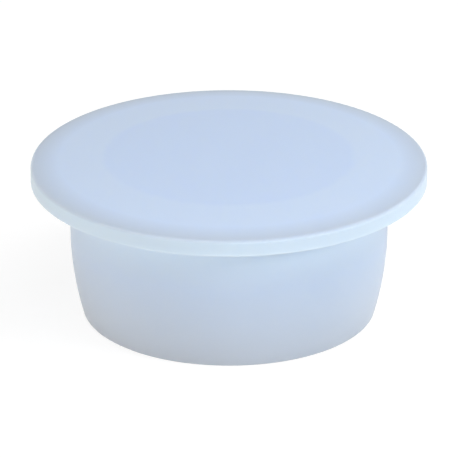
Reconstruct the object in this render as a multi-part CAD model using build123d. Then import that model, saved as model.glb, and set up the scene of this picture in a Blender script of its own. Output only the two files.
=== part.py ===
from build123d import *
import math
import os

# Push-in hole plug, moulded in one piece: a round flanged head that closes a panel hole, over a hollow
# skirt that grips the hole and is open below.
# Millimetres. The origin is on the axis, on the face of the panel: the flange's underside lies at Z = 0,
# the head is above it and the skirt hangs below it, in the hole.

# How the plug sits in the panel.
hole_diameter = 32.0
press_interference = 0.1  # on the diameter: the skirt is moulded this much larger than the hole
land_length = 5.0  # straight, gripping part of the skirt, straight below the flange
insertion_depth = 14.2  # from the panel's face to the skirt's tip
lead_in_radius = 33.0  # the arc that draws the skirt in below the land, so that it finds the hole

# The head: a low dome over the hollow, then a ring that slopes gently down, then a shoulder that rolls over
# to the flange's edge.
flange_diameter = 40.0
flange_edge_height = 1.6
flange_top_round = 0.3
shoulder_width = 4.0  # from the ring to the flange's edge
shoulder_drop = 0.5
ring_slope = 5.0  # degrees
dome_rise = 0.35
head_thickness = 2.4  # at the axis

# The hollow.
tip_wall = 1.4  # wall at the open end, before its outer corner is rounded
core_draft = 1.5  # degrees, so that the skirt strips off its core
root_chamfer = 0.3  # where the skirt's wall meets the head
tip_round = 0.4

# The stub where the moulding was broken off its gate, inside the head.
gate_diameter = 1.6
gate_height = 0.3

# Sizes that follow from those.
flange_radius = flange_diameter / 2
land_radius = (hole_diameter + press_interference) / 2
lead_in_depth = insertion_depth - land_length
lead_in_step = lead_in_radius - math.sqrt(lead_in_radius**2 - lead_in_depth**2)
tip_radius = land_radius - lead_in_step
mouth_radius = tip_radius - tip_wall
core_taper = math.tan(math.radians(core_draft))
hollow_radius = mouth_radius - core_taper * insertion_depth  # level with the panel's face

shoulder_radius = flange_radius - shoulder_width
shoulder_z = flange_edge_height + shoulder_drop
dome_radius = hollow_radius - root_chamfer
ring_rise = math.tan(math.radians(ring_slope)) * (shoulder_radius - dome_radius)
crease_z = shoulder_z + ring_rise
crown_z = crease_z + dome_rise
roof_z = crown_z - head_thickness
roof_radius = mouth_radius - core_taper * (insertion_depth + roof_z)

# Corners of the half section: distance from the axis, then height.
crown = (0, crown_z)
crease = (dome_radius, crease_z)
shoulder = (shoulder_radius, shoulder_z)
flange_top = (flange_radius, flange_edge_height)
flange_bottom = (flange_radius, 0)
land_top = (land_radius, 0)
land_bottom = (land_radius, -land_length)
tip = (tip_radius, -insertion_depth)
mouth = (mouth_radius, -insertion_depth)
root = (roof_radius, roof_z)
gate_root = (gate_diameter / 2, roof_z)
gate_edge = (gate_diameter / 2, roof_z - gate_height)
gate_end = (0, roof_z - gate_height)


def head_lines():
    """The dome, the sloping ring, the shoulder, and the flange's edge and underside."""
    dome = TangentArc(crown, crease, tangent=(1, 0))
    ring = Line(crease, shoulder)
    roll = TangentArc(shoulder, flange_top, tangent=ring % 1)
    flange = Polyline(flange_top, flange_bottom, land_top)
    return dome + ring + roll + flange


def skirt_lines():
    """The straight land, and the tangent arc that leads it in to the tip."""
    land = Line(land_top, land_bottom)
    lead_in = TangentArc(land_bottom, tip, tangent=land % 1)
    return land + lead_in


def hollow_lines():
    """The open end, the drafted wall, the flat roof and the gate stub at its centre."""
    return Polyline(tip, mouth, root, gate_root, gate_edge, gate_end, crown)


def vertex_at(section, corner):
    return section.vertices().sort_by_distance(corner)[0]


def half_section():
    section = make_face(head_lines() + skirt_lines() + hollow_lines())
    section = fillet(vertex_at(section, flange_top), flange_top_round)
    section = fillet(vertex_at(section, tip), tip_round)
    return chamfer(vertex_at(section, root), root_chamfer)


def hole_plug():
    return revolve(Plane.XZ * half_section(), Axis.Z)


os.makedirs("parts", exist_ok=True)
export_step(hole_plug(), "parts/hole_plug.step")
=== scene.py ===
"""Looks for the push-in hole plug: its polyethylene finish, the studio it stands in and the camera."""

import math

import bpy
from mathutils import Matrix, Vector


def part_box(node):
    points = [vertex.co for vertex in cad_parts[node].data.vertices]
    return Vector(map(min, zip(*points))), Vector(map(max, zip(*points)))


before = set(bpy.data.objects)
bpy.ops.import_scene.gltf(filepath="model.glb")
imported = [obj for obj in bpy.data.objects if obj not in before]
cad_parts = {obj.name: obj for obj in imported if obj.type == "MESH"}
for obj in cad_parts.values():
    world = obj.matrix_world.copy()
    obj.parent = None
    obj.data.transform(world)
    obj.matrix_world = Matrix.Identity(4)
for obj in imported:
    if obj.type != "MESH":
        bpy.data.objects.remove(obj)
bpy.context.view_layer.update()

bl_info = {
    "name": "Hole plug",
    "version": (1, 0, 0),
    "blender": (4, 5, 0),
    "location": "3D View > Sidebar > Hole plug",
    "description": "Finishes a moulded polyethylene hole plug and sets it on a pale studio floor",
    "category": "Object",
}

NODE = "hole_plug"
MM = 0.001

plug_low, plug_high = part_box(NODE)
PLUG_WIDTH = plug_high.x - plug_low.x

# The head's colours start this far below the top of the flange's upright edge.
RIM_HEIGHT = 1.6 * MM
RIM_BLEND = 0.3 * MM

# Shares of the flange's radius: half the width of the change of colour at the crease, partly the resin's
# depth and partly painted shading of the crease, and where the wall's colour ends, just outside the skirt.
CREASE_BLEND = 0.02
WALL_END = 0.86

# Shares of the skirt's height, up from its tip, where its own colour, darkened with painted shade, is full
# and where the edge's colour, lightened with a painted glow, starts.
SKIRT_MIDDLE = 0.6
SKIRT_TOP = 0.97

GRAIN_STRENGTH = 0.1
GRAIN_DEPTH = 0.02 * MM

# The paper's glow, and the share that it has where it is seen and where it only lights the plug from below.
GLOW_STRENGTH = 1.13
SEEN_GLOW = 0.75
UNDERLIGHT = 0.15
FLOOR_WIDTHS = 40
BACKDROP_STRENGTH = 1.0

SENSOR_WIDTH = 36
CLIP_START = 0.01
CLIP_END = 10

LAMP_DISTANCE = 0.5
LAMP_SIZE = 0.2

# Name, degrees round to the right of the camera, degrees up, watts, colour.
SOFTBOXES = (
    ("softbox_right", 62, 20, 1.3, "FFFFFF"),
    ("softbox_right_high", 65, 60, 0.8, "F6FAFF"),
    ("softbox_left", -48, 6, 1.35, "FFF7EE"),
    ("softbox_left_high", -60, 60, 0.3, "FFFAF4"),
    ("softbox_top", 0, 66, 0.5, "F6FAFF"),
    ("softbox_back_right", 130, 50, 0.3, "F6FAFF"),
    ("softbox_back_left", -150, 6, 0.5, "FFFFFF"),
)


# ---- colour and node helpers ----


def linear(hex_colour):
    """An sRGB hex colour, such as C8D8EA, as linear red, green, blue and alpha."""
    channels = [int(hex_colour[i : i + 2], 16) / 255 for i in (0, 2, 4)]
    curve = [c / 12.92 if c <= 0.04045 else ((c + 0.055) / 1.055) ** 2.4 for c in channels]
    return (*curve, 1.0)


def add_node(tree, kind, settings=None, links=None):
    """Adds a node, sets its properties or input values by name, and links its inputs to other outputs."""
    node = tree.nodes.new(kind)
    for name, value in (settings or {}).items():
        if hasattr(node, name):
            setattr(node, name, value)
        else:
            node.inputs[name].default_value = value
    for name, output in (links or {}).items():
        tree.links.new(output, node.inputs[name])
    return node


def empty_material(name):
    material = bpy.data.materials.new(name)
    material.use_nodes = True
    material.node_tree.nodes.clear()
    return material


# ---- sizes and colours that a user would change ----


class MouldingSettings(bpy.types.PropertyGroup):
    # The panel's colour is a little darker and the wall's a little lighter: partly the resin's depth, partly
    # painted shading of the crease.
    panel_resin_and_painted_shade: bpy.props.StringProperty(
        name="Panel resin",
        description="Colour of the panel over the hollow, as sRGB hex",
        default="C7D9F6",
    )
    wall_resin_and_painted_light: bpy.props.StringProperty(
        name="Wall resin",
        description="Colour where the skirt wall backs the head, as sRGB hex",
        default="CBDCF5",
    )
    # The free flange's colour is darker and greyer: partly the thin resin, partly painted shade.
    rim_resin_and_painted_shade: bpy.props.StringProperty(
        name="Rim resin", description="Colour of the free flange, as sRGB hex", default="BECAD9"
    )
    # A painted glow: the flange's edge and the top of the skirt under it are lighter than the resin, where
    # light and shade fall.
    edge_resin_and_painted_glow: bpy.props.StringProperty(
        name="Edge resin",
        description="Colour of the flange's edge, which glows, as sRGB hex",
        default="CDDDEB",
    )
    # The skirt's colour half way down is partly darkened with painted shade.
    skirt_resin_and_painted_shade: bpy.props.StringProperty(
        name="Skirt resin",
        description="Colour of the skirt half way down, as sRGB hex",
        default="C6D5E9",
    )
    # The tip's colour is darker and greyer: partly the thin resin, partly painted shade.
    tip_resin_and_painted_shade: bpy.props.StringProperty(
        name="Tip resin", description="Colour of the skirt's thin tip, as sRGB hex", default="BCC4CF"
    )
    scatter: bpy.props.FloatProperty(
        name="Scatter depth",
        description="How far light travels in the resin before it comes out again",
        default=0.4 * MM,
        unit="LENGTH",
        subtype="DISTANCE",
    )
    grain: bpy.props.FloatProperty(
        name="Grain",
        description="Width of the grain that the blasted mould leaves",
        default=0.25 * MM,
        unit="LENGTH",
        subtype="DISTANCE",
    )
    roughness: bpy.props.FloatProperty(
        name="Roughness", description="Satin of the moulded surface", default=0.5, subtype="FACTOR"
    )
    crease_radius: bpy.props.FloatProperty(
        name="Crease radius",
        description="Of the circle where the domed panel meets the sloping ring",
        default=12.67 * MM,
        unit="LENGTH",
        subtype="DISTANCE",
    )


class StageSettings(bpy.types.PropertyGroup):
    fill: bpy.props.FloatProperty(
        name="Fill", description="Strength of the even light from all round", default=0.05
    )
    paper: bpy.props.StringProperty(
        name="Paper", description="Colour of the studio paper, as sRGB hex", default="F4F3F1"
    )
    camera_distance: bpy.props.FloatProperty(
        name="Camera distance", description="From the plug's origin", default=0.7, unit="LENGTH"
    )
    camera_elevation: bpy.props.FloatProperty(
        name="Camera elevation",
        description="Above the horizon",
        default=math.radians(22.6),
        unit="ROTATION",
        subtype="ANGLE",
    )
    lens: bpy.props.FloatProperty(
        name="Lens", description="Focal length in millimetres", default=545.4, unit="CAMERA"
    )
    aim: bpy.props.FloatProperty(
        name="Aim height",
        description="Point on the plug's axis that the camera looks at",
        default=-5.56 * MM,
        unit="LENGTH",
        subtype="DISTANCE",
    )


# ---- natural polyethylene ----


def tone_ramp(tree, length, low, high, stops):
    """Colours that follow a length between low and high, as (share of the way, hex colour) stops."""
    share = add_node(
        tree, "ShaderNodeMapRange", {"From Min": low, "From Max": high}, {"Value": length}
    ).outputs["Result"]
    ramp = add_node(tree, "ShaderNodeValToRGB", links={"Fac": share})
    keys = ramp.color_ramp.elements
    while len(keys) < len(stops):
        keys.new(0.5)
    for key, (position, colour) in zip(keys, stops):
        key.position = position
        key.color = linear(colour)
    return ramp.outputs["Color"]


def milky_colour_and_painted_light(tree, sizes, place):
    """The resin's colour by zone: partly how much of it lies behind the skin, partly painted light and shade.

    Where the skirt wall backs the head the resin is palest and bluest, lightened with painted light, and the
    panel over the hollow is a little darker, so that the crease shows as painted shading. The free flange and
    the skirt's thin tip let light through, so they are greyer, and both are darkened with painted shade. The
    skirt darkens towards its tip with painted shade, and the flange's edge and the top of the skirt under it
    are lightened with a painted glow.
    """
    axes = add_node(tree, "ShaderNodeSeparateXYZ", links={"Vector": place}).outputs
    flat = add_node(tree, "ShaderNodeCombineXYZ", links={"X": axes["X"], "Y": axes["Y"]}).outputs["Vector"]
    radius = add_node(
        tree, "ShaderNodeVectorMath", {"operation": "LENGTH"}, {"Vector": flat}
    ).outputs["Value"]
    rim = PLUG_WIDTH / 2
    crease = sizes.crease_radius / rim
    # The head's colours: painted shading of the crease, painted light over the wall, painted shade on the
    # free flange.
    head = tone_ramp(
        tree,
        radius,
        0,
        rim,
        [
            (crease - CREASE_BLEND, sizes.panel_resin_and_painted_shade),
            (crease + CREASE_BLEND, sizes.wall_resin_and_painted_light),
            (WALL_END, sizes.wall_resin_and_painted_light),
            (1, sizes.rim_resin_and_painted_shade),
        ],
    )
    # The side's colours: painted shade darkens the skirt towards its tip, and a painted glow lightens its top
    # and the flange's edge.
    side = tone_ramp(
        tree,
        axes["Z"],
        plug_low.z,
        0,
        [(0, sizes.tip_resin_and_painted_shade), (SKIRT_MIDDLE, sizes.skirt_resin_and_painted_shade), (SKIRT_TOP, sizes.edge_resin_and_painted_glow)],
    )
    on_top = add_node(
        tree,
        "ShaderNodeMapRange",
        {"From Min": RIM_HEIGHT - RIM_BLEND, "From Max": RIM_HEIGHT},
        {"Value": axes["Z"]},
    ).outputs["Result"]
    # A colour mix has its two colours in sockets 6 and 7, and its result in socket 2.
    mix = add_node(tree, "ShaderNodeMix", {"data_type": "RGBA"}, {"Factor": on_top})
    tree.links.new(side, mix.inputs[6])
    tree.links.new(head, mix.inputs[7])
    return mix.outputs[2]


def natural_ldpe(sizes):
    """Natural low-density polyethylene, injection-moulded against blasted steel.

    Light goes into the milky resin and comes out a little way off, so edges and shadows are soft. The skin is
    satin and waxy, and its gloss is matched to that, well below what its IOR alone would give. The blasted
    grain is drawn coarser than the real one, and so shallow that it barely shows.
    """
    material = empty_material("natural_ldpe")
    tree = material.node_tree
    place = add_node(tree, "ShaderNodeTexCoord").outputs["Object"]
    # The resin's colours carry painted light and shade by zone.
    colour = milky_colour_and_painted_light(tree, sizes, place)
    grain = add_node(
        tree, "ShaderNodeTexNoise", {"Scale": 1 / sizes.grain, "Detail": 2.0}, {"Vector": place}
    )
    bump = add_node(
        tree,
        "ShaderNodeBump",
        {"Strength": GRAIN_STRENGTH, "Distance": GRAIN_DEPTH},
        {"Height": grain.outputs["Fac"]},
    )
    surface = add_node(
        tree,
        "ShaderNodeBsdfPrincipled",
        {
            "Roughness": sizes.roughness,
            "IOR": 1.51,
            "Specular IOR Level": 0.1,
            "Subsurface Weight": 1.0,
            "Subsurface Radius": (1.0, 1.0, 1.0),
            "Subsurface Scale": sizes.scatter,
        },
        {"Base Color": colour, "Normal": bump.outputs["Normal"]},
    )
    add_node(tree, "ShaderNodeOutputMaterial", links={"Surface": surface.outputs["BSDF"]})
    return material


class PLUG_OT_finish_moulding(bpy.types.Operator):
    """Gives the one-piece moulding its satin, milky polyethylene skin"""

    bl_idname = "plug.finish_moulding"
    bl_label = "Finish the moulding"

    def execute(self, context):
        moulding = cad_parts[NODE]
        moulding.data.materials.clear()
        moulding.data.materials.append(natural_ldpe(context.scene.plug_moulding))
        return {"FINISHED"}


# ---- the stage ----


def seen_directly(tree):
    """One for rays from the camera, and for mirror and see-through rays, which show the backdrop too."""
    path = add_node(tree, "ShaderNodeLightPath").outputs
    seen = path["Is Camera Ray"]
    for ray in ("Is Glossy Ray", "Is Transmission Ray"):
        either = add_node(tree, "ShaderNodeMath", {"operation": "MAXIMUM"})
        tree.links.new(seen, either.inputs[0])
        tree.links.new(path[ray], either.inputs[1])
        seen = either.outputs["Value"]
    return seen


def blend_shaders(tree, share, first, second):
    """The first shader where share is 0 and the second where it is 1. Share is a number or a socket."""
    if isinstance(share, bpy.types.NodeSocket):
        mix = add_node(tree, "ShaderNodeMixShader", links={"Fac": share})
    else:
        mix = add_node(tree, "ShaderNodeMixShader", {"Fac": share})
    tree.links.new(first, mix.inputs[1])
    tree.links.new(second, mix.inputs[2])
    return mix.outputs["Shader"]


def floor_material(paper_colour):
    """Matt white studio paper, lit from behind to plain white, so that it holds only a faint shadow.

    It glows much less on the plug than where it is seen. From below, the view goes through it to the plug.
    """
    material = empty_material("studio_paper")
    tree = material.node_tree
    paper = add_node(tree, "ShaderNodeBsdfDiffuse", {"Color": linear(paper_colour)}).outputs["BSDF"]
    glow = add_node(
        tree, "ShaderNodeEmission", {"Color": linear("FFFFFF"), "Strength": GLOW_STRENGTH}
    ).outputs["Emission"]
    seen = blend_shaders(tree, SEEN_GLOW, paper, glow)
    dim = blend_shaders(tree, UNDERLIGHT, paper, glow)
    above = blend_shaders(tree, seen_directly(tree), dim, seen)
    from_below = add_node(tree, "ShaderNodeNewGeometry").outputs["Backfacing"]
    clear = add_node(tree, "ShaderNodeBsdfTransparent").outputs["BSDF"]
    surface = blend_shaders(tree, from_below, above, clear)
    add_node(tree, "ShaderNodeOutputMaterial", links={"Surface": surface})
    return material


def add_floor(sizes):
    reach = FLOOR_WIDTHS * PLUG_WIDTH
    mesh = bpy.data.meshes.new("studio_floor")
    corners = [(-reach, -reach), (reach, -reach), (reach, reach), (-reach, reach)]
    mesh.from_pydata([(x, y, plug_low.z) for x, y in corners], [], [(0, 1, 2, 3)])
    mesh.materials.append(floor_material(sizes.paper))
    floor = bpy.data.objects.new("studio_floor", mesh)
    bpy.context.scene.collection.objects.link(floor)


def add_softbox(name, turn, height, power, colour):
    """A square softbox that faces the plug, from turn degrees right of the camera and height degrees up."""
    turn, height = math.radians(turn), math.radians(height)
    out = math.cos(height)
    place = Vector((math.sin(turn) * out, -math.cos(turn) * out, math.sin(height))) * LAMP_DISTANCE
    light = bpy.data.lights.new(name, "AREA")
    light.shape = "SQUARE"
    light.size = LAMP_SIZE
    light.energy = power
    light.color = linear(colour)[:3]
    lamp = bpy.data.objects.new(name, light)
    lamp.location = place
    lamp.rotation_euler = (-place).to_track_quat("-Z", "Y").to_euler()
    bpy.context.scene.collection.objects.link(lamp)


def add_world(sizes):
    """A dim even fill for the plug, and plain white wherever the backdrop shows."""
    world = bpy.data.worlds.new("studio")
    world.use_nodes = True
    tree = world.node_tree
    tree.nodes.clear()
    white = linear("FFFFFF")
    fill = add_node(
        tree, "ShaderNodeBackground", {"Color": white, "Strength": sizes.fill}
    ).outputs["Background"]
    backdrop = add_node(
        tree, "ShaderNodeBackground", {"Color": white, "Strength": BACKDROP_STRENGTH}
    ).outputs["Background"]
    light = blend_shaders(tree, seen_directly(tree), fill, backdrop)
    add_node(tree, "ShaderNodeOutputWorld", links={"Surface": light})
    bpy.context.scene.world = world


def add_camera(sizes):
    camera = bpy.data.cameras.new("camera")
    camera.sensor_width = SENSOR_WIDTH
    camera.lens = sizes.lens
    camera.clip_start = CLIP_START
    camera.clip_end = CLIP_END
    stand = bpy.data.objects.new("camera", camera)
    up, out = math.sin(sizes.camera_elevation), math.cos(sizes.camera_elevation)
    stand.location = Vector((0, -out, up)) * sizes.camera_distance
    look = Vector((0, 0, sizes.aim)) - stand.location
    stand.rotation_euler = look.to_track_quat("-Z", "Y").to_euler()
    bpy.context.scene.collection.objects.link(stand)
    bpy.context.scene.camera = stand


class PLUG_OT_set_stage(bpy.types.Operator):
    """Lays the pale floor, hangs the softboxes and stands the camera"""

    bl_idname = "plug.set_stage"
    bl_label = "Set the stage"

    def execute(self, context):
        sizes = context.scene.plug_stage
        context.scene.view_settings.view_transform = "Standard"
        add_floor(sizes)
        for softbox in SOFTBOXES:
            add_softbox(*softbox)
        add_world(sizes)
        add_camera(sizes)
        return {"FINISHED"}


class PLUG_PT_panel(bpy.types.Panel):
    """Lists what makes the plug's looks"""

    bl_label = "Hole plug"
    bl_idname = "PLUG_PT_panel"
    bl_space_type = "VIEW_3D"
    bl_region_type = "UI"
    bl_category = "Hole plug"

    def draw(self, context):
        layout = self.layout
        for settings in (context.scene.plug_moulding, context.scene.plug_stage):
            for name in settings.bl_rna.properties.keys():
                if name not in ("rna_type", "name"):
                    layout.prop(settings, name)
        for operator in OPERATORS:
            layout.operator(operator.bl_idname)


OPERATORS = (PLUG_OT_finish_moulding, PLUG_OT_set_stage)
CLASSES = (MouldingSettings, StageSettings, *OPERATORS, PLUG_PT_panel)


def register():
    for cls in CLASSES:
        bpy.utils.register_class(cls)
    bpy.types.Scene.plug_moulding = bpy.props.PointerProperty(type=MouldingSettings)
    bpy.types.Scene.plug_stage = bpy.props.PointerProperty(type=StageSettings)


def unregister():
    del bpy.types.Scene.plug_stage
    del bpy.types.Scene.plug_moulding
    for cls in reversed(CLASSES):
        bpy.utils.unregister_class(cls)


def main():
    register()
    bpy.ops.plug.finish_moulding()
    bpy.ops.plug.set_stage()


if __name__ == "__main__":
    main()
